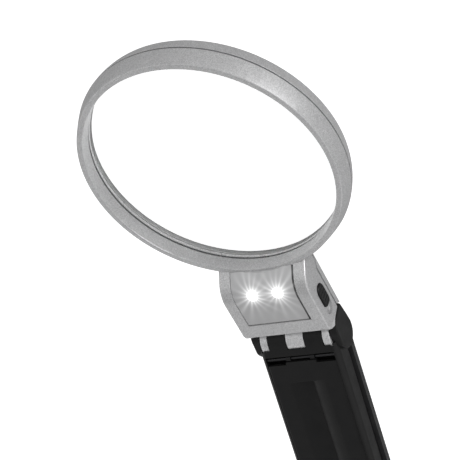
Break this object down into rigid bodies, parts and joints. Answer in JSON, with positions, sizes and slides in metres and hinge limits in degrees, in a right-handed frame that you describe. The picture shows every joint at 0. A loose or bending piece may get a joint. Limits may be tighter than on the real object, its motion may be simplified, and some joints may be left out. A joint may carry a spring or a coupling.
{
  "type": "low vision magnifier",
  "caption": "Round lens in a silver ring with a lit housing, on a black battery handle that folds at a barrel hinge and has a swing-out stand leg.",
  "frame": {"origin": "where the lens axis crosses the plane of the ring's back rim, which is the plane the magnifier rests on", "axes": "+X along the hinge axis, towards the switch side; +Y from the handle across the lens; +Z out of the lit side of the lens"},
  "size_m": [0.1136, 0.2645, 0.0603],
  "materials": {
    "silver_shell": "satin metallic silver paint with a fine sparkle",
    "silver_trim": "satin silver paint",
    "lens_glass": "clear polished",
    "window_clear": "clear polished",
    "reflector": "bright satin",
    "lamp_lens": "clear epoxy, lit",
    "black_shell": "satin black, very fine grain",
    "black_cover": "satin black, slightly lighter",
    "black_inner": "matte black",
    "black_button": "satin black",
    "dark_rubber": "matte",
    "steel": "bright",
    "dark_steel": "blackened, satin",
    "pale_gasket": "matte",
    "board": "solder mask green",
    "chip": "matte",
    "lead_red": "insulation",
    "cell_jacket": "printed jacket, plain",
    "contact": "bright"
  },
  "bodies": {
    "head": {"front_shell": "silver_shell", "back_shell": "silver_shell", "lens": "lens_glass", "lens_retainer": "silver_trim", "lens_gasket": "pale_gasket", "lamp_window": "window_clear", "reflector_plate": "reflector", "lamp_left": "lamp_lens", "lamp_right": "lamp_lens", "lamp_board": "board", "lamp_resistors": "chip", "switch_body": "black_inner", "switch_leads": "lead_red", "head_screws": "steel", "hinge_pin": "steel"},
    "switch": {"switch_slider": "black_button"},
    "handle": {"hinge_washers": "steel", "handle_shell": "black_shell", "battery_tray": "black_inner", "cell_left": "cell_jacket", "cell_middle": "cell_jacket", "cell_right": "cell_jacket", "contact_springs": "steel", "contact_plates": "contact", "battery_leads": "lead_red", "tray_screws": "steel", "end_pad": "dark_rubber", "leg_rod": "dark_steel"},
    "cover": {"battery_cover": "black_cover"},
    "leg": {"stand_leg": "black_shell", "leg_foot": "dark_rubber"}
  },
  "joints": [
    {"name": "handle_fold", "type": "hinge", "parent": "head", "child": "handle", "pos_m": [0, -0.0945, 0.013], "axis": [-1, 0, 0], "range_deg": [0, 65]},
    {"name": "leg_swing", "type": "hinge", "parent": "handle", "child": "leg", "pos_m": [0, -0.09879, 0.02169], "axis": [-1, 0, 0], "range_deg": [0, 45]},
    {"name": "switch_slide", "type": "slide", "parent": "head", "child": "switch", "axis": [0, -1, 0], "range_m": [0, 0.004]},
    {"name": "cover_slide", "type": "slide", "parent": "handle", "child": "cover", "axis": [0, -0.9397, 0.342], "range_m": [0, 0.04]}
  ]
}
